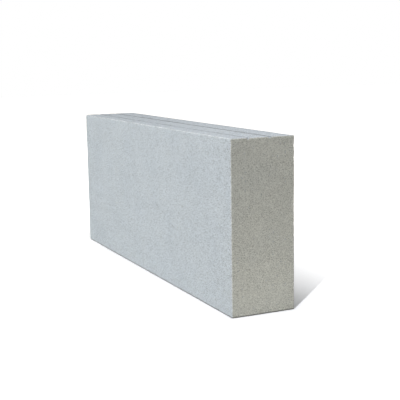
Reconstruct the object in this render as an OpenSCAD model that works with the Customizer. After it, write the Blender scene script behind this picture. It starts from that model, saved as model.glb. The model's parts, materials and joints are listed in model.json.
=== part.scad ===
// Partition block of autoclaved aerated concrete, standing on its bed face as it is laid in a wall.
// One wire-cut piece: flat faces, lightly worn arrises and glue grooves along the top bed face.
// Frame: X along the wall, Y through the wall (front face at -Y), Z up, origin under the middle
// of the bottom bed face. Millimetres.

/* [Block] */
// Length along the wall
block_length = 625; // [300:5:650]
// Thickness of the wall that the block makes
block_thickness = 100; // [60:5:200]
// Height of one course
block_height = 250; // [150:5:300]
// Radius that cutting and handling leave on every arris
arris_radius = 1.5; // [0.5:0.5:4]

/* [Glue grooves] */
// Width of a groove at the bed face
groove_width = 5; // [4:0.5:8]
// Depth of a groove below the bed face
groove_depth = 1.8; // [1:0.2:2]
// Front face to the middle of the first groove
groove_setback = 27; // [20:1:35]
// Middle of one groove to the middle of the next
groove_pitch = 34; // [15:1:60]
// Least distance from the middle of the last groove to the back face
groove_margin = 20; // [10:1:25]

/* [Hidden] */
round_steps = 64;
// Overrun of a cut past the face that it leaves
cut_overrun = 1;
// A groove is the part of a round bar that sinks into the bed face
groove_radius = (groove_width * groove_width / 4 + groove_depth * groove_depth) / (2 * groove_depth);
groove_axis_z = block_height - groove_depth + groove_radius;
groove_count = 1 + floor((block_thickness - groove_setback - groove_margin) / groove_pitch);
concrete_grey = [0.78, 0.8, 0.8];

// Rectangle centred on the origin, with its four corners rounded to the arris radius
module worn_rectangle(width, height) {
    core_width = width - 2 * arris_radius;
    core_height = height - 2 * arris_radius;
    union() {
        square([width, core_height], center = true);
        square([core_width, height], center = true);
        for (side_x = [-1, 1], side_y = [-1, 1])
            translate([side_x * core_width / 2, side_y * core_height / 2])
                circle(r = arris_radius, $fn = round_steps);
    }
}

// The sawn prism: each of the three outlines wears the four arrises that run through it
module worn_prism() {
    intersection() {
        linear_extrude(height = block_height, center = true)
            worn_rectangle(block_length, block_thickness);
        rotate([90, 0, 0])
            linear_extrude(height = block_thickness, center = true)
                worn_rectangle(block_length, block_height);
        rotate([90, 0, 90])
            linear_extrude(height = block_length, center = true)
                worn_rectangle(block_thickness, block_height);
    }
}

// Round-bottomed groove along the whole block, its middle at the given distance behind the front face
module glue_groove(from_front) {
    translate([0, from_front - block_thickness / 2, groove_axis_z])
        rotate([0, 90, 0])
            cylinder(r = groove_radius, h = block_length + 2 * cut_overrun, center = true, $fn = round_steps);
}

module block() {
    color(concrete_grey)
        difference() {
            translate([0, 0, block_height / 2])
                worn_prism();
            for (groove = [0 : 1 : groove_count - 1])
                glue_groove(groove_setback + groove * groove_pitch);
        }
}

block();
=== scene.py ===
import json
import random
from math import radians, sqrt, tan

import bpy
from mathutils import Euler, Matrix, Vector

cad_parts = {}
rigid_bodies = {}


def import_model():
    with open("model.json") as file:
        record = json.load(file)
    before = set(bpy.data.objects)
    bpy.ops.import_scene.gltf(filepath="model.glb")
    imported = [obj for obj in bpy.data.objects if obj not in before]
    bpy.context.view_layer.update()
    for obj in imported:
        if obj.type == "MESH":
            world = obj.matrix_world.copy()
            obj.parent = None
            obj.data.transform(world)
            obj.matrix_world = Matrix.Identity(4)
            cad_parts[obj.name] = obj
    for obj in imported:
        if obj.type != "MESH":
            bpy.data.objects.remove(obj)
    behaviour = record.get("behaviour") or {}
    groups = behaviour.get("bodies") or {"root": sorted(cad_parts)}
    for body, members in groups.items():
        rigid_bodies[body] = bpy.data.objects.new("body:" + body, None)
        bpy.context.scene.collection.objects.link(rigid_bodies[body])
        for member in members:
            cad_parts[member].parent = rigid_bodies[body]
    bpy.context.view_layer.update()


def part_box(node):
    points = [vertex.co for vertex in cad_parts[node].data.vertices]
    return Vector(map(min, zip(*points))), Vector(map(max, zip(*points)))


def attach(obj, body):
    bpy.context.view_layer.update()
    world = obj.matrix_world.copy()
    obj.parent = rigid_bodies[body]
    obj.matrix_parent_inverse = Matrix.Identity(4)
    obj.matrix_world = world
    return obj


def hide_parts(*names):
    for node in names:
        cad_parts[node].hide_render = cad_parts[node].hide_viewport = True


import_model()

scene = bpy.context.scene
scene.view_settings.view_transform = "Standard"


# ---------------------------------------------------------------- camera
# A short telephoto stands 1.2 m off the near end of the block, 0.11 m above its top bed face.
# It looks mostly along the front face and turns a hair on its own axis, as a hand-held one does.
camera_place = (1.3665, -0.5894, 0.3592)
heading, tilt, roll = radians(64.935), radians(80.798), radians(-0.915)
camera_turn = Euler((tilt, 0, heading)).to_matrix() @ Matrix.Rotation(roll, 3, "Z")
bpy.ops.object.camera_add(location=camera_place, rotation=camera_turn.to_euler())
camera = bpy.context.object
camera.name = "camera"
camera.data.sensor_width = 36
camera.data.lens = 79.58
camera.data.clip_start = 0.05
scene.camera = camera


# ---------------------------------------------------------------- block
# Autoclaved aerated concrete: a risen cake of cement, lime, sand and aluminium powder that is cut
# by taut wires while it is still soft, then steam cured. One piece, with two glue grooves raked
# along its top bed face. Its faces are open with small round pores and its arrises crumble.
low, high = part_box("block")
length, thickness, height = high - low
middle = (low + high) / 2
half = (high - low) / 2

# The rounding of its arrises, the reach that just covers it, and the squares that it is worked in
arris = 0.0015
past_arris = 1.05 * arris
square = 0.00625


def only(piece):
    """Selects this piece alone and makes it the active one."""
    bpy.ops.object.select_all(action="DESELECT")
    piece.select_set(True)
    bpy.context.view_layer.objects.active = piece


def pick(piece, kind, test):
    """In edit mode, selects the corners, edges or faces of a piece that pass a test, and no others."""
    bpy.ops.mesh.select_mode(type=kind)
    bpy.ops.mesh.select_all(action="DESELECT")
    bpy.ops.object.mode_set(mode="OBJECT")
    parts = {"VERT": piece.data.vertices, "EDGE": piece.data.edges, "FACE": piece.data.polygons}[kind]
    parts.foreach_set("select", [test(part) for part in parts])
    bpy.ops.object.mode_set(mode="EDIT")


def depths(point):
    """How far a point lies under the three nearest faces of the block, the least first."""
    return sorted(half[axis] - abs(point[axis] - middle[axis]) for axis in range(3))


bpy.ops.object.select_all(action="DESELECT")
bpy.ops.mesh.primitive_cube_add(size=1, location=middle, scale=(length, thickness, height))
block = bpy.context.object
block.name = "aerated_block"
block.data.name = "aerated_block"
bpy.ops.object.transform_apply(location=True, rotation=True, scale=True)
bpy.ops.object.mode_set(mode="EDIT")
bpy.ops.mesh.select_all(action="SELECT")
bpy.ops.mesh.bevel(offset=arris, segments=3, affect="EDGES")

# Scored into squares, a little unevenly, with a narrow margin along every arris
margin = 0.0035
stray = 0.15
dice = random.Random(5)
for axis, reach in enumerate((length, thickness, height)):
    cuts = round(reach / square)
    lines = [(number + dice.uniform(-stray, stray)) * reach / cuts for number in range(1, cuts)]
    for line in [margin, *lines, reach - margin]:
        place = Vector(low)
        place[axis] += line
        normal = [0, 0, 0]
        normal[axis] = 1
        bpy.ops.mesh.select_all(action="SELECT")
        bpy.ops.mesh.bisect(plane_co=place, plane_no=normal)

# The two glue grooves: the bed face is cut into narrow rows, which are sunk to the belly of the rake
groove_width = 0.005
groove_depth = 0.0018
groove_places = (low.y + 0.027, low.y + 0.061)
groove_radius = (groove_width**2 / 4 + groove_depth**2) / (2 * groove_depth)
groove_steps = 8
groove_rows = [groove_width * (number / groove_steps - 0.5) for number in range(groove_steps + 1)]
bed = high.z - past_arris
hair = 0.00001
for place_y in groove_places:
    for row in groove_rows:
        line = place_y + row
        pick(block, "FACE", lambda face: face.center.z > bed and abs(face.center.y - line) < square)
        bpy.ops.mesh.bisect(plane_co=(0, line, 0), plane_no=(0, 1, 0))
    for row in groove_rows[1:-1]:
        line = place_y + row
        sink = sqrt(groove_radius**2 - row**2) - (groove_radius - groove_depth)
        pick(block, "VERT", lambda corner: corner.co.z > bed and abs(corner.co.y - line) < hair)
        bpy.ops.transform.translate(value=(0, 0, -sink))

# The flat faces keep a crisp border, so that the rounding of an arris doesn't shade them
straight_out = 0.999
pick(block, "FACE", lambda face: max(abs(part) for part in face.normal) > straight_out)
bpy.ops.mesh.region_to_loop()
bpy.ops.mesh.mark_sharp()


def runs_along(edge):
    """A long edge of the rounding of an arris, that runs the way the arris does."""
    start, end = [block.data.vertices[corner].co for corner in edge.vertices]
    longest_across = 0.0014
    return depths((start + end) / 2)[1] < past_arris and (end - start).length > longest_across


# The arrises are cut short, and each piece is long enough for one crumb
pick(block, "EDGE", runs_along)
bpy.ops.mesh.subdivide(number_cuts=3)
bpy.ops.object.mode_set(mode="OBJECT")


def add_node(tree, kind, settings, inputs):
    """Adds a node, applies its settings, and sets or links its inputs."""
    made = tree.nodes.new(kind)
    for name, value in settings.items():
        setattr(made, name, value)
    for key, value in inputs.items():
        if isinstance(value, bpy.types.NodeSocket):
            tree.links.new(value, made.inputs[key])
        else:
            made.inputs[key].default_value = value
    return made


def depth_nodes(tree, place):
    """A point's depths under the faces across X, Y and Z, the least of them, and the second least,
    which is its distance from the nearest arris."""
    off = add_node(tree, "ShaderNodeVectorMath", {"operation": "SUBTRACT"}, {0: place, 1: middle})
    size = add_node(tree, "ShaderNodeVectorMath", {"operation": "ABSOLUTE"}, {0: off.outputs[0]})
    under = add_node(
        tree, "ShaderNodeVectorMath", {"operation": "SUBTRACT"}, {0: half, 1: size.outputs[0]}
    )
    left = add_node(tree, "ShaderNodeSeparateXYZ", {}, {0: under.outputs[0]}).outputs
    x, y, z = left["X"], left["Y"], left["Z"]
    less = add_node(tree, "ShaderNodeMath", {"operation": "MINIMUM"}, {0: x, 1: y}).outputs[0]
    more = add_node(tree, "ShaderNodeMath", {"operation": "MAXIMUM"}, {0: x, 1: y}).outputs[0]
    capped = add_node(tree, "ShaderNodeMath", {"operation": "MINIMUM"}, {0: more, 1: z}).outputs[0]
    second = add_node(tree, "ShaderNodeMath", {"operation": "MAXIMUM"}, {0: less, 1: capped}).outputs[0]
    least = add_node(tree, "ShaderNodeMath", {"operation": "MINIMUM"}, {0: less, 1: z}).outputs[0]
    return left, least, second


# The taut wires leave the faces a hair uneven, in shallow hollows that run the long way, and crumbs
# broke off within 2 to 3 mm of the arrises. Both only take away from the cut block.
hollow_depth = 0.0003
hollow_width = 0.045
hollow_draw = 0.35
crumb_depth = 0.0006
crumb_width = 0.004
crumb_reach = 0.0032
steps = bpy.data.node_groups.new("weathered", "GeometryNodeTree")
steps.interface.new_socket("Geometry", in_out="INPUT", socket_type="NodeSocketGeometry")
steps.interface.new_socket("Geometry", in_out="OUTPUT", socket_type="NodeSocketGeometry")
body = add_node(steps, "NodeGroupInput", {}, {}).outputs["Geometry"]
where = add_node(steps, "GeometryNodeInputPosition", {}, {}).outputs[0]
drawn_out = add_node(
    steps, "ShaderNodeVectorMath", {"operation": "MULTIPLY"}, {0: where, 1: (hollow_draw, 1.0, 1.0)}
)
sway = add_node(
    steps,
    "ShaderNodeTexNoise",
    {},
    {"Vector": drawn_out.outputs[0], "Scale": 1 / hollow_width, "Detail": 2.0},
)
hollow = add_node(
    steps,
    "ShaderNodeMapRange",
    {},
    {"Value": sway.outputs[0], "From Min": 0.45, "From Max": 0.75, "To Max": hollow_depth},
)
from_arris = depth_nodes(steps, where)[2]
on_arris = add_node(
    steps,
    "ShaderNodeMapRange",
    {},
    {"Value": from_arris, "From Min": crumb_reach, "From Max": crumb_reach / 2},
)
lumpy = add_node(
    steps, "ShaderNodeTexNoise", {}, {"Vector": where, "Scale": 1 / crumb_width, "Detail": 2.0}
)
crumb = add_node(
    steps,
    "ShaderNodeMapRange",
    {},
    {"Value": lumpy.outputs[0], "From Min": 0.57, "From Max": 0.68, "To Max": crumb_depth},
)
crumbled = add_node(
    steps,
    "ShaderNodeMath",
    {"operation": "MULTIPLY_ADD"},
    {0: on_arris.outputs[0], 1: crumb.outputs[0], 2: hollow.outputs[0]},
)
lost = add_node(steps, "ShaderNodeMath", {"operation": "MULTIPLY"}, {0: crumbled.outputs[0], 1: -1.0})
out = add_node(steps, "GeometryNodeInputNormal", {}, {})
inward = add_node(
    steps, "ShaderNodeVectorMath", {"operation": "SCALE"}, {0: out.outputs[0], "Scale": lost.outputs[0]}
)
waved = add_node(steps, "GeometryNodeSetPosition", {}, {"Geometry": body, "Offset": inward.outputs[0]})
add_node(steps, "NodeGroupOutput", {}, {0: waved.outputs[0]})
modifier = block.modifiers.new("weathered", "NODES")
modifier.node_group = steps
only(block)
bpy.ops.object.modifier_apply(modifier=modifier.name)
bpy.data.node_groups.remove(steps)


def is_whole(face):
    """A square of a flat face, clear of the arrises, the grooves and the pores that are there."""
    to_groove = min(abs(face.center.y - line) for line in groove_places)
    by_groove = face.center.z > bed and to_groove < square
    return (
        len(face.vertices) == 4
        and face.area > 0.5 * square**2
        and depths(face.center)[1] > square
        and not by_groove
    )


# Gas pores that the wires cut open, 0.8 to 2.4 mm across and more of them small than large. Squares
# are picked at random and poked. Each middle strays a little, is opened to a hole of eight sides and
# is sunk in two steps to a bowl.
pore_sizes = 12
pores_each = 200
least_radius = 0.0004
radius_range = 0.0008
more_small = 1.5
off_middle = 0.0012
eight_sided = 0.086
bowl_steps = ((0.25, 0.55), (0.35, 0.30))
for number in range(pore_sizes):
    radius = least_radius + radius_range * (number / (pore_sizes - 1)) ** more_small
    whole = [face.index for face in block.data.polygons if is_whole(face)]
    chosen = set(dice.sample(whole, pores_each))
    bpy.ops.object.mode_set(mode="EDIT")
    pick(block, "FACE", lambda face: face.index in chosen)
    bpy.ops.mesh.poke()
    bpy.ops.mesh.select_mode(type="VERT")
    bpy.ops.mesh.select_less()
    bpy.ops.object.mode_set(mode="OBJECT")
    for corner in block.data.vertices:
        if corner.select:
            room = [half[axis] - abs(corner.co[axis] - middle[axis]) for axis in range(3)]
            for axis in range(3):
                if room[axis] > min(room):
                    corner.co[axis] += dice.uniform(-off_middle, off_middle)
    bpy.ops.object.mode_set(mode="EDIT")
    bpy.ops.mesh.bevel(offset=radius, segments=2, affect="VERTICES", profile=eight_sided)
    bpy.ops.mesh.select_mode(type="FACE")
    bpy.ops.mesh.dissolve_faces()
    for inward, down in bowl_steps:
        bpy.ops.mesh.inset(thickness=inward * radius, depth=-down * radius)
    bpy.ops.object.mode_set(mode="OBJECT")
bpy.ops.object.mode_set(mode="EDIT")
bpy.ops.mesh.select_all(action="SELECT")
bpy.ops.mesh.quads_convert_to_tris(quad_method="BEAUTY", ngon_method="BEAUTY")
bpy.ops.object.mode_set(mode="OBJECT")
bpy.ops.object.shade_smooth_by_angle(angle=radians(50), keep_sharp_edges=True)

# The skin is laid out side by side: the four long faces above each other, the ends beside them. A
# triangle goes to the face that it looks along with, or lies nearest to: 2 mm count as a right angle.
gap = 0.005
long_up = height + gap
skins = (
    ((0, -1, 0), (1, 0, 0), (0, 0, 1), (0, 0)),
    ((0, 1, 0), (-1, 0, 0), (0, 0, 1), (0, long_up)),
    ((0, 0, 1), (1, 0, 0), (0, 1, 0), (0, 2 * long_up)),
    ((0, 0, -1), (-1, 0, 0), (0, 1, 0), (0, 2 * long_up + thickness + gap)),
    ((1, 0, 0), (0, 1, 0), (0, 0, 1), (length + gap, 0)),
    ((-1, 0, 0), (0, -1, 0), (0, 0, 1), (length + gap, long_up)),
)
skins = [tuple(Vector(part) for part in skin) for skin in skins]
sheet = length + thickness + 3 * gap
while block.data.uv_layers:
    block.data.uv_layers.remove(block.data.uv_layers[0])
layout = block.data.uv_layers.new(name="OFBake")
corners = [vertex.co - middle for vertex in block.data.vertices]
per_depth = 500
for face in block.data.polygons:
    centre = sum((corners[vertex] for vertex in face.vertices), Vector()) / 3
    fit = [
        face.normal.dot(out) + per_depth * (centre.dot(out) - half.dot(Vector(map(abs, out))))
        for out, along, up, corner in skins
    ]
    out, along, up, corner = skins[fit.index(max(fit))]
    start_along = gap + half.dot(Vector(map(abs, along)))
    start_up = gap + half.dot(Vector(map(abs, up)))
    start = corner + Vector((start_along, start_up))
    for loop in face.loop_indices:
        point = corners[block.data.loops[loop].vertex_index]
        layout.data[loop].uv = (start + Vector((point.dot(along), point.dot(up)))) / sheet


def linear(code):
    """Linear colour of an sRGB hex code."""
    parts = [int(code[i : i + 2], 16) / 255 for i in (1, 3, 5)]
    return [c / 12.92 if c <= 0.04045 else ((c + 0.055) / 1.055) ** 2.4 for c in parts] + [1]


def gas_pores(tree, place, apart, least, most):
    """How far inside a cut gas pore a point lies, 0 to 1, for round pores this far apart. Their
    least and greatest radius are shares of that distance."""
    # The faces lie a whole number of distances apart, so one small shift lets each of them cut its
    # pores near the middle, and no face is barer than another
    uneven = 0.65
    soft_rim = 0.22
    shift = [uneven / 2 * apart] * 3
    shifted = add_node(tree, "ShaderNodeVectorMath", {"operation": "ADD"}, {0: place, 1: shift})
    nests = add_node(
        tree,
        "ShaderNodeTexVoronoi",
        {},
        {"Vector": shifted.outputs[0], "Scale": 1 / apart, "Randomness": uneven},
    )
    chance = add_node(tree, "ShaderNodeSeparateColor", {}, {0: nests.outputs["Color"]})
    radius = add_node(
        tree, "ShaderNodeMapRange", {}, {"Value": chance.outputs[0], "To Min": least, "To Max": most}
    )
    inside = add_node(
        tree,
        "ShaderNodeMath",
        {"operation": "SUBTRACT"},
        {0: radius.outputs[0], 1: nests.outputs["Distance"]},
    )
    depth = add_node(
        tree,
        "ShaderNodeMapRange",
        {"interpolation_type": "SMOOTHSTEP"},
        {"Value": inside.outputs[0], "From Max": soft_rim},
    )
    return depth.outputs[0]


# Autoclaved aerated concrete, wire cut and cured: a dry, chalky skin with no gloss at all, cool
# grey where the wires smeared it along the long faces and warmer on the cut ends, partly their own
# tone and partly painted warm bounce light on the ends, open with gas pores 1 to 2 mm across and
# finer ones between them that are painted darker for the shade in them, and paler where its arrises
# are rubbed, which on the long faces is partly a painted highlight. The grooves and the foot carry
# painted shade.
concrete = bpy.data.materials.new("wire_cut_aerated_concrete")
concrete.use_nodes = True
tree = concrete.node_tree
tree.nodes.clear()
reads = add_node(tree, "ShaderNodeTexCoord", {}, {})
place = reads.outputs["Object"]

# Cool long faces, warmer ends, partly their own tone and partly painted warm bounce light on the
# ends, both a little cloudy where the cake dried unevenly
facing = add_node(tree, "ShaderNodeVectorMath", {"operation": "ABSOLUTE"}, {0: reads.outputs["Normal"]})
facing_parts = add_node(tree, "ShaderNodeSeparateXYZ", {}, {0: facing.outputs[0]})
on_end = add_node(
    tree,
    "ShaderNodeMapRange",
    {"interpolation_type": "SMOOTHSTEP"},
    {"Value": facing_parts.outputs["X"], "From Min": 0.5, "From Max": 0.9},
)
tone_and_bounce_tint = add_node(
    tree,
    "ShaderNodeMix",
    {"data_type": "RGBA"},
    {0: on_end.outputs[0], 6: linear("#E4EAED"), 7: linear("#ECECE1")},
)
cloud_width = 0.055
clouds = add_node(
    tree, "ShaderNodeTexNoise", {}, {"Vector": place, "Scale": 1 / cloud_width, "Detail": 3.0}
)
cloudy = add_node(
    tree,
    "ShaderNodeMapRange",
    {},
    {"Value": clouds.outputs[0], "From Min": 0.3, "From Max": 0.7, "To Max": 0.5},
)
dried = add_node(
    tree,
    "ShaderNodeMix",
    {"data_type": "RGBA", "blend_type": "MULTIPLY"},
    {0: cloudy.outputs[0], 6: tone_and_bounce_tint.outputs[2], 7: linear("#F3F5F8")},
)

# Rubbed arrises, 1 to 4 mm wide on the long faces, with chips in them that are mostly pale. The
# pale band is partly wear and partly a painted highlight along the rounded arris, and is left off
# the ends, which lie in shade.
rub_width = 0.006
chip_width = 0.0018
left, under, to_arris = depth_nodes(tree, place)
ragged = add_node(
    tree, "ShaderNodeTexNoise", {}, {"Vector": place, "Scale": 1 / rub_width, "Detail": 2.0}
)
rub_reach = add_node(
    tree,
    "ShaderNodeMapRange",
    {},
    {"Value": ragged.outputs[0], "From Min": 0.3, "From Max": 0.7, "To Min": 0.001, "To Max": 0.004},
)
rubbed = add_node(
    tree,
    "ShaderNodeMapRange",
    {"interpolation_type": "SMOOTHSTEP"},
    {"Value": to_arris, "From Max": rub_reach.outputs[0], "To Min": 0.65, "To Max": 0.0},
)
off_end = add_node(
    tree, "ShaderNodeMath", {"operation": "SUBTRACT"}, {0: 1.0, 1: on_end.outputs[0]}
)
long_rub_and_highlight = add_node(
    tree, "ShaderNodeMath", {"operation": "MULTIPLY"}, {0: rubbed.outputs[0], 1: off_end.outputs[0]}
)
chips = add_node(tree, "ShaderNodeTexVoronoi", {}, {"Vector": place, "Scale": 1 / chip_width})
chip_dice = add_node(tree, "ShaderNodeSeparateColor", {}, {0: chips.outputs["Color"]})
mostly_pale = add_node(
    tree, "ShaderNodeMapRange", {}, {"Value": chip_dice.outputs[0], "From Max": 0.6}
)
chip_tint = add_node(
    tree,
    "ShaderNodeMix",
    {"data_type": "RGBA"},
    {0: mostly_pale.outputs[0], 6: linear("#AEAFAB"), 7: linear("#FFFFFF")},
)
worn_and_highlit = add_node(
    tree,
    "ShaderNodeMix",
    {"data_type": "RGBA"},
    {0: long_rub_and_highlight.outputs[0], 6: dried.outputs[2], 7: chip_tint.outputs[2]},
)

# The grooves are darker, partly where the rake opened the skin and dust settled and partly as
# painted shade in their hollow, but less so within 8 mm of the ends
darkening_outside = groove_width / 2 + 0.0004
darkening_inside = groove_width / 2 - 0.0008
spot = add_node(tree, "ShaderNodeSeparateXYZ", {}, {0: place}).outputs
across = []
for place_y in groove_places:
    off = add_node(tree, "ShaderNodeMath", {"operation": "SUBTRACT"}, {0: spot["Y"], 1: place_y})
    away = add_node(tree, "ShaderNodeMath", {"operation": "ABSOLUTE"}, {0: off.outputs[0]})
    across.append(away.outputs[0])
to_groove = add_node(tree, "ShaderNodeMath", {"operation": "MINIMUM"}, {0: across[0], 1: across[1]})
in_groove = add_node(
    tree,
    "ShaderNodeMapRange",
    {"interpolation_type": "SMOOTHSTEP"},
    {"Value": to_groove.outputs[0], "From Min": darkening_outside, "From Max": darkening_inside},
)
groove_belly = high.z - groove_depth
near_top = add_node(
    tree,
    "ShaderNodeMapRange",
    {},
    {"Value": spot["Z"], "From Min": groove_belly - 0.001, "From Max": groove_belly},
)
groove_share = add_node(
    tree, "ShaderNodeMath", {"operation": "MULTIPLY"}, {0: in_groove.outputs[0], 1: near_top.outputs[0]}
)
from_end = add_node(
    tree,
    "ShaderNodeMapRange",
    {},
    {"Value": left["X"], "From Min": 0.001, "From Max": 0.008, "To Min": 0.3, "To Max": 0.8},
)
dust_and_shade = add_node(
    tree,
    "ShaderNodeMath",
    {"operation": "MULTIPLY"},
    {0: groove_share.outputs[0], 1: from_end.outputs[0]},
)
raked = add_node(
    tree,
    "ShaderNodeMix",
    {"data_type": "RGBA"},
    {0: dust_and_shade.outputs[0], 6: worn_and_highlit.outputs[2], 7: linear("#9A9C9C")},
)

# Painted contact shadow: the arris it stands on is darkened, 1 to 2 mm up and 2 to 4 mm in under it
foot_up = add_node(
    tree, "ShaderNodeMapRange", {}, {"Value": spot["Z"], "From Min": 0.0020, "From Max": 0.0011}
)
foot_in = add_node(
    tree, "ShaderNodeMapRange", {}, {"Value": to_arris, "From Min": 0.0040, "From Max": 0.0020}
)
contact_shadow_share = add_node(
    tree, "ShaderNodeMath", {"operation": "MULTIPLY"}, {0: foot_up.outputs[0], 1: foot_in.outputs[0]}
)
contact_shadowed = add_node(
    tree,
    "ShaderNodeMix",
    {"data_type": "RGBA", "blend_type": "MULTIPLY"},
    {0: contact_shadow_share.outputs[0], 6: raked.outputs[2], 7: linear("#8C8C8A")},
)

# Gas pores of two sizes, and the sand and lime grain between them, lighter and darker. The real
# pores run from 2 mm down to a tenth, and the sand is finer still. The finest of each would not
# show, so pores are drawn from 0.5 mm up, and the grain at about 1 mm.
pores_apart = 0.0025
fine_pores_apart = 0.00125
grit_width = 0.0009
pores = gas_pores(tree, place, pores_apart, least=0.22, most=0.38)
fine_pores = gas_pores(tree, place, fine_pores_apart, least=0.20, most=0.40)

# The pores that are sunk in the mesh get painted shade too, a third as much, from 0.4 mm down.
# The rounded arrises and the grooves lie that deep as well, and are left out.
sunk_shade_share = 0.35
sunk = add_node(
    tree, "ShaderNodeMapRange", {}, {"Value": under, "From Min": 0.0004, "From Max": 0.0009}
)
inside = add_node(
    tree, "ShaderNodeMapRange", {}, {"Value": to_arris, "From Min": 0.003, "From Max": 0.004}
)
sunk_inside = add_node(
    tree, "ShaderNodeMath", {"operation": "MULTIPLY"}, {0: sunk.outputs[0], 1: inside.outputs[0]}
)
opened = add_node(
    tree,
    "ShaderNodeMath",
    {"operation": "SUBTRACT", "use_clamp": True},
    {0: sunk_inside.outputs[0], 1: groove_share.outputs[0]},
)
pore_shade_share = add_node(
    tree,
    "ShaderNodeMath",
    {"operation": "MULTIPLY_ADD"},
    {0: opened.outputs[0], 1: sunk_shade_share, 2: pores},
)

grit = add_node(tree, "ShaderNodeTexVoronoi", {}, {"Vector": place, "Scale": 1 / grit_width})
grit_dice = add_node(tree, "ShaderNodeSeparateColor", {}, {0: grit.outputs["Color"]})
in_grit = add_node(
    tree,
    "ShaderNodeMix",
    {"data_type": "RGBA"},
    {0: grit_dice.outputs[1], 6: linear("#D6D6D4"), 7: linear("#FFFFFF")},
)
grained = add_node(
    tree,
    "ShaderNodeMix",
    {"data_type": "RGBA", "blend_type": "MULTIPLY"},
    {0: 1.0, 6: contact_shadowed.outputs[2], 7: in_grit.outputs[2]},
)
# Both sizes of pore are painted darker: painted shade in their hollows
in_pores = add_node(
    tree,
    "ShaderNodeMix",
    {"data_type": "RGBA", "blend_type": "MULTIPLY"},
    {0: pore_shade_share.outputs[0], 6: grained.outputs[2], 7: linear("#A6A6A3")},
)
in_fine = add_node(
    tree,
    "ShaderNodeMix",
    {"data_type": "RGBA", "blend_type": "MULTIPLY"},
    {0: fine_pores, 6: in_pores.outputs[2], 7: linear("#A8A8A5")},
)

# Their relief in millimetres
pore_relief = -0.50
fine_pore_relief = -0.25
grit_relief = 0.10
deep = add_node(tree, "ShaderNodeMath", {"operation": "MULTIPLY"}, {0: pores, 1: pore_relief})
deeper = add_node(
    tree,
    "ShaderNodeMath",
    {"operation": "MULTIPLY_ADD"},
    {0: fine_pores, 1: fine_pore_relief, 2: deep.outputs[0]},
)
relief = add_node(
    tree,
    "ShaderNodeMath",
    {"operation": "MULTIPLY_ADD"},
    {0: grit_dice.outputs[1], 1: grit_relief, 2: deeper.outputs[0]},
)
millimetre = 0.001
bump = add_node(
    tree,
    "ShaderNodeBump",
    {},
    {"Height": relief.outputs[0], "Distance": millimetre, "Strength": 0.8},
)
chalky = add_node(
    tree, "ShaderNodeMapRange", {}, {"Value": grit_dice.outputs[1], "To Min": 0.9, "To Max": 1.0}
)
shader = add_node(
    tree,
    "ShaderNodeBsdfPrincipled",
    {},
    {
        "Base Color": in_fine.outputs[2],
        "Roughness": chalky.outputs[0],
        "Specular IOR Level": 0.2,
        "Normal": bump.outputs[0],
    },
)
add_node(tree, "ShaderNodeOutputMaterial", {}, {"Surface": shader.outputs[0]})
block.data.materials.clear()
block.data.materials.append(concrete)
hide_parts("block")
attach(block, "root")


# ---------------------------------------------------------------- floor
# A sweep of matt white paper. The lamps find it grey, so that it throws little light back up at the
# block. To the eye it is white and glows besides: faintly by the block, where the shadow lies, and
# up to plain white further out.
bpy.ops.mesh.primitive_plane_add(size=14, location=(0, 0, 0))
floor = bpy.context.object
floor.name = "studio_floor"
paper = bpy.data.materials.new("white_paper_sweep")
paper.use_nodes = True
tree = paper.node_tree
tree.nodes.clear()
path = add_node(tree, "ShaderNodeLightPath", {}, {})
place = add_node(tree, "ShaderNodeTexCoord", {}, {})

# The glow grows with the distance from the part of the foot that the shadow lies against, so that
# the floor in front of the block and by its far end is whiter
shaded_middle = Vector((0.06, 0.02, 0.0))
shaded_half = (half.x - shaded_middle.x, half.y - shaded_middle.y, 1.0)
near_reach = 0.15
far_reach = 0.45
from_shade = add_node(
    tree,
    "ShaderNodeVectorMath",
    {"operation": "SUBTRACT"},
    {0: place.outputs["Object"], 1: shaded_middle},
)
aside = add_node(tree, "ShaderNodeVectorMath", {"operation": "ABSOLUTE"}, {0: from_shade.outputs[0]})
outside = add_node(
    tree, "ShaderNodeVectorMath", {"operation": "SUBTRACT"}, {0: aside.outputs[0], 1: shaded_half}
)
clear = add_node(
    tree, "ShaderNodeVectorMath", {"operation": "MAXIMUM"}, {0: outside.outputs[0], 1: (0.0, 0.0, 0.0)}
)
to_block = add_node(tree, "ShaderNodeVectorMath", {"operation": "LENGTH"}, {0: clear.outputs[0]})
near_glow = add_node(
    tree,
    "ShaderNodeMapRange",
    {},
    {"Value": to_block.outputs["Value"], "From Max": near_reach, "To Min": 0.05, "To Max": 0.37},
)
far_glow = add_node(
    tree,
    "ShaderNodeMapRange",
    {"interpolation_type": "SMOOTHSTEP"},
    {
        "Value": to_block.outputs["Value"],
        "From Min": near_reach,
        "From Max": far_reach,
        "To Max": 1.15,
    },
)

# Past the near end, and past the line along which the key's shadow starts at its far corner, the
# floor glows a little more, so that it is white up to the block's foot
key_azimuth = -47
slant = -1 / tan(radians(key_azimuth))
past_corner = add_node(
    tree,
    "ShaderNodeVectorMath",
    {"operation": "MAXIMUM"},
    {0: place.outputs["Object"], 1: (low.x, high.y, 0.0)},
)
past_shade = add_node(
    tree,
    "ShaderNodeVectorMath",
    {"operation": "DOT_PRODUCT"},
    {0: past_corner.outputs[0], 1: (1.0, slant, 0.0)},
)
shade_line = high.x + slant * high.y
shade_edge = 0.008
shade_edge_glow = add_node(
    tree,
    "ShaderNodeMapRange",
    {},
    {
        "Value": past_shade.outputs["Value"],
        "From Min": shade_line,
        "From Max": shade_line + shade_edge,
        "To Max": 0.12,
    },
)
near_clean = add_node(
    tree, "ShaderNodeMath", {"operation": "ADD"}, {0: near_glow.outputs[0], 1: shade_edge_glow.outputs[0]}
)
glow = add_node(
    tree,
    "ShaderNodeMath",
    {"operation": "MAXIMUM"},
    {0: far_glow.outputs[0], 1: near_clean.outputs[0]},
)
seen = add_node(
    tree,
    "ShaderNodeMath",
    {"operation": "MULTIPLY"},
    {0: path.outputs["Is Camera Ray"], 1: glow.outputs[0]},
)
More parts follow.
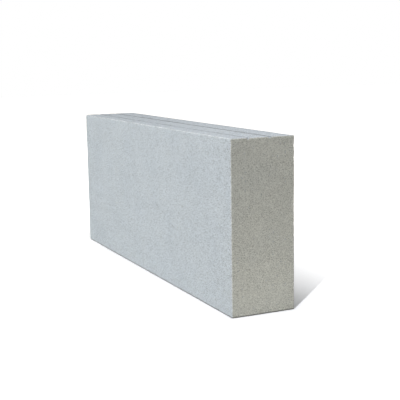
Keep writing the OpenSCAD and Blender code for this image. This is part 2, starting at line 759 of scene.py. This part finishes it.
shade = add_node(
    tree,
    "ShaderNodeMix",
    {"data_type": "RGBA"},
    {0: path.outputs["Is Camera Ray"], 6: linear("#B4B4B4"), 7: linear("#FFFFFF")},
)
matt = add_node(tree, "ShaderNodeBsdfDiffuse", {}, {"Color": shade.outputs[2]})
shine = add_node(
    tree, "ShaderNodeEmission", {}, {"Color": linear("#FFFCF5"), "Strength": seen.outputs["Value"]}
)
both = add_node(
    tree, "ShaderNodeAddShader", {}, {0: matt.outputs["BSDF"], 1: shine.outputs["Emission"]}
)
add_node(tree, "ShaderNodeOutputMaterial", {}, {"Surface": both.outputs["Shader"]})
floor.data.materials.append(paper)


# ---------------------------------------------------------------- light
# A narrow key strip high over the near end throws the short shadow, a wide fill lights the long
# face evenly, two small cards lift the near end from low down, and a wide fill keeps the back pale.
def softbox(name, aim, azimuth, elevation, distance, width, reach, power, colour):
    """A soft lamp that looks at a point, from an azimuth counted from +X toward +Y."""
    turn = Euler((0, radians(-elevation), radians(azimuth)))
    out = turn.to_matrix() @ Vector((1, 0, 0))
    bpy.ops.object.light_add(type="AREA", location=aim + out * distance)
    lamp = bpy.context.object
    lamp.name = name
    lamp.rotation_euler = out.to_track_quat("Z", "Y").to_euler()
    lamp.data.shape = "RECTANGLE"
    lamp.data.size = width
    lamp.data.size_y = reach
    lamp.data.energy = power
    lamp.data.color = linear(colour)[:3]
    lamp.visible_camera = False


softbox(
    "key_strip",
    aim=Vector((high.x, high.y, height / 2)),
    azimuth=key_azimuth,
    elevation=66,
    distance=2.6,
    width=0.04,
    reach=2.6,
    power=63,
    colour="#F7F9FF",
)
softbox(
    "front_fill",
    aim=middle,
    azimuth=-105,
    elevation=6,
    distance=2.4,
    width=1.6,
    reach=0.5,
    power=31,
    colour="#FBFEFF",
)
softbox(
    "end_card",
    aim=middle,
    azimuth=0,
    elevation=-4,
    distance=0.9,
    width=0.5,
    reach=0.08,
    power=0.29,
    colour="#FFF5DB",
)
softbox(
    "foot_card",
    aim=middle,
    azimuth=0,
    elevation=-13.7,
    distance=0.443,
    width=0.1,
    reach=0.04,
    power=0.019,
    colour="#FFFFFF",
)
softbox(
    "back_fill",
    aim=middle,
    azimuth=128,
    elevation=9,
    distance=2.4,
    width=1.6,
    reach=0.5,
    power=20,
    colour="#FFFFFF",
)

# The room gives a dim even light, and its backdrop is plain white where it is seen or mirrored
world = bpy.data.worlds.new("studio")
world.use_nodes = True
tree = world.node_tree
tree.nodes.clear()
path = add_node(tree, "ShaderNodeLightPath", {}, {})
mirrored = add_node(
    tree,
    "ShaderNodeMath",
    {"operation": "MAXIMUM"},
    {0: path.outputs["Is Glossy Ray"], 1: path.outputs["Is Transmission Ray"]},
)
shown = add_node(
    tree,
    "ShaderNodeMath",
    {"operation": "MAXIMUM"},
    {0: path.outputs["Is Camera Ray"], 1: mirrored.outputs["Value"]},
)
room = add_node(tree, "ShaderNodeBackground", {}, {"Color": linear("#FFFFFF"), "Strength": 0.06})
backdrop = add_node(tree, "ShaderNodeBackground", {}, {"Color": linear("#FFFFFF"), "Strength": 1.0})
either = add_node(
    tree,
    "ShaderNodeMixShader",
    {},
    {0: shown.outputs["Value"], 1: room.outputs["Background"], 2: backdrop.outputs["Background"]},
)
add_node(tree, "ShaderNodeOutputWorld", {}, {"Surface": either.outputs["Shader"]})
scene.world = world
